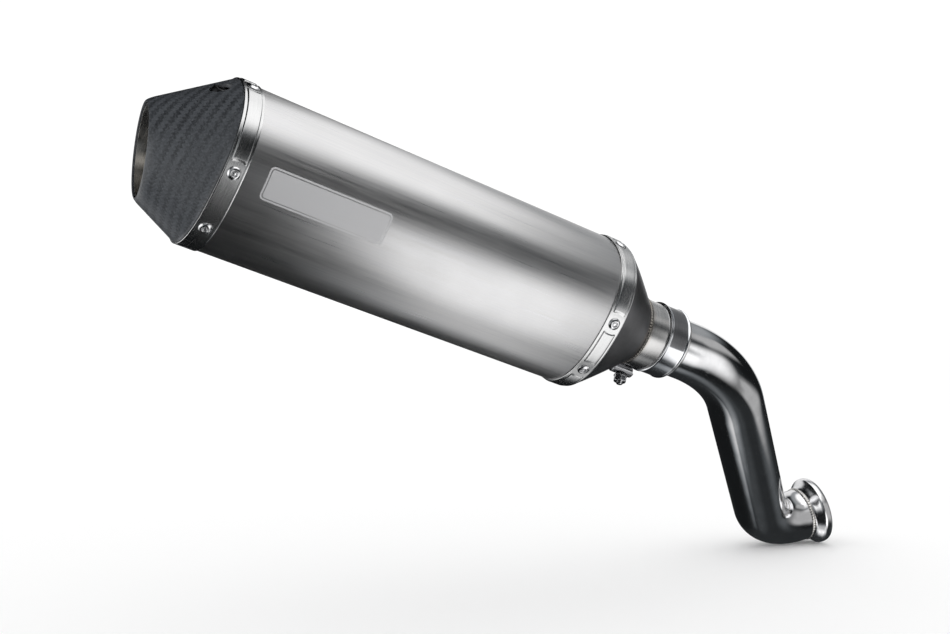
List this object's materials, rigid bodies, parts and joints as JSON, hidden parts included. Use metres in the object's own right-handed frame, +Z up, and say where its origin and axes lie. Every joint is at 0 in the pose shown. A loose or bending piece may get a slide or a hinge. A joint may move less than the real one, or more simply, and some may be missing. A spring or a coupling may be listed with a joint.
{
  "type": "motorcycle exhaust muffler",
  "caption": "Slip-on motorcycle muffler: oval brushed sleeve with riveted straps, slanted carbon outlet cap, removable baffle, band clamp and bent link pipe with a flared joint.",
  "frame": {"origin": "centre of the flared header joint's face, at the front end of the link pipe", "axes": "+X forwards on the motorcycle, +Y to its left, +Z up; the muffler runs back and up along -X"},
  "size_m": [0.699, 0.1941, 0.3813],
  "materials": {
    "titanium": "brushed titanium",
    "stainless": "satin stainless steel",
    "polished_stainless": "mirror-polished stainless steel",
    "carbon": "satin carbon-fibre twill",
    "cone_steel": "dark satin steel",
    "inner_steel": "plain steel",
    "fastener_steel": "bright fastener steel",
    "weld": "heat-tinted weld bead",
    "black_oxide": "black oxide",
    "glass_fibre": "packed glass fibre"
  },
  "bodies": {
    "link_pipe": {"link_pipe": "polished_stainless", "flare_collar": "polished_stainless", "flare_weld": "weld"},
    "silencer": {"titanium_sleeve": "titanium", "outlet_band": "stainless", "inlet_band": "stainless", "carbon_outlet_cap": "carbon", "outlet_inner_plate": "inner_steel", "outlet_tube": "stainless", "inlet_cone": "cone_steel", "inlet_neck": "stainless", "neck_weld": "weld", "perforated_core_tube": "inner_steel", "glass_fibre_packing": "glass_fibre", "baffle_screw_boss": "inner_steel", "outlet_rivet_1": "fastener_steel", "outlet_rivet_2": "fastener_steel", "outlet_rivet_3": "fastener_steel", "outlet_rivet_4": "fastener_steel", "outlet_rivet_5": "fastener_steel", "outlet_rivet_6": "fastener_steel", "inlet_rivet_1": "fastener_steel", "inlet_rivet_2": "fastener_steel", "inlet_rivet_3": "fastener_steel", "inlet_rivet_4": "fastener_steel", "inlet_rivet_5": "fastener_steel", "inlet_rivet_6": "fastener_steel"},
    "baffle": {"baffle_cup": "stainless", "baffle_tube": "inner_steel", "baffle_nose": "inner_steel"},
    "baffle_screw": {"baffle_screw": "black_oxide"},
    "clamp": {"clamp_band": "polished_stainless", "clamp_t_bolt": "fastener_steel", "clamp_trunnion": "fastener_steel"},
    "clamp_nut": {"clamp_nut": "fastener_steel"}
  },
  "joints": [
    {"name": "silencer_turn", "type": "hinge", "parent": "link_pipe", "child": "silencer", "pos_m": [-0.27602, -0.11367, 0.16972], "axis": [0.9489, 0, -0.3156], "range_deg": [-30, 30]},
    {"name": "baffle_slide", "type": "slide", "parent": "silencer", "child": "baffle", "axis": [-0.9489, 0, 0.3156], "range_m": [0, 0.125]},
    {"name": "baffle_screw_out", "type": "slide", "parent": "silencer", "child": "baffle_screw", "axis": [0.2745, -0.4939, 0.825], "range_m": [0, 0.028]},
    {"name": "clamp_turn", "type": "hinge", "parent": "silencer", "child": "clamp", "pos_m": [-0.27602, -0.11367, 0.16972], "axis": [0.9489, 0, -0.3156], "continuous": true},
    {"name": "clamp_nut_travel", "type": "slide", "parent": "clamp", "child": "clamp_nut", "axis": [-0.3086, -0.2096, -0.9278], "range_m": [0, 0.008]}
  ]
}
